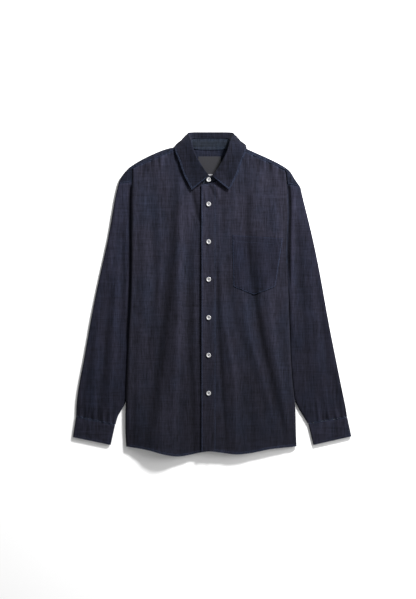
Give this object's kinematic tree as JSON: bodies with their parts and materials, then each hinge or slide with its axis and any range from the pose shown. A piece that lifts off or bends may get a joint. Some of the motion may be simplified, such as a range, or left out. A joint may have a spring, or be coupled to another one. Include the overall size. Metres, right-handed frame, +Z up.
{
  "type": "denim shirt",
  "caption": "Long-sleeved button-front denim shirt laid flat, with a turned-down collar, a placket, a pointed chest pocket and buttoned cuffs",
  "frame": {"origin": "centre of the underside of the shirt as it lies, on the surface it rests on", "axes": "X across the chest, towards the wearer's left; Y from the hem to the collar; Z up, from the back panel to the front panels"},
  "size_m": [0.6963, 0.8096, 0.028],
  "materials": {
    "denim": "dark indigo denim, matte, slubby",
    "denim_collar": "dark indigo denim, matte, two layers",
    "label_satin": "grey woven satin",
    "button_shell": "pale grey shell look, polished"
  },
  "bodies": {
    "root": {"front_right": "denim", "front_left": "denim", "placket": "denim", "pocket": "denim", "back": "denim", "yoke": "denim", "sleeve_right": "denim", "sleeve_left": "denim", "cuff_right": "denim", "cuff_left": "denim", "collar_stand": "denim_collar", "collar": "denim_collar", "label": "label_satin", "button_1": "button_shell", "button_2": "button_shell", "button_3": "button_shell", "button_4": "button_shell", "button_5": "button_shell", "button_6": "button_shell", "button_7": "button_shell"}
  },
  "joints": []
}
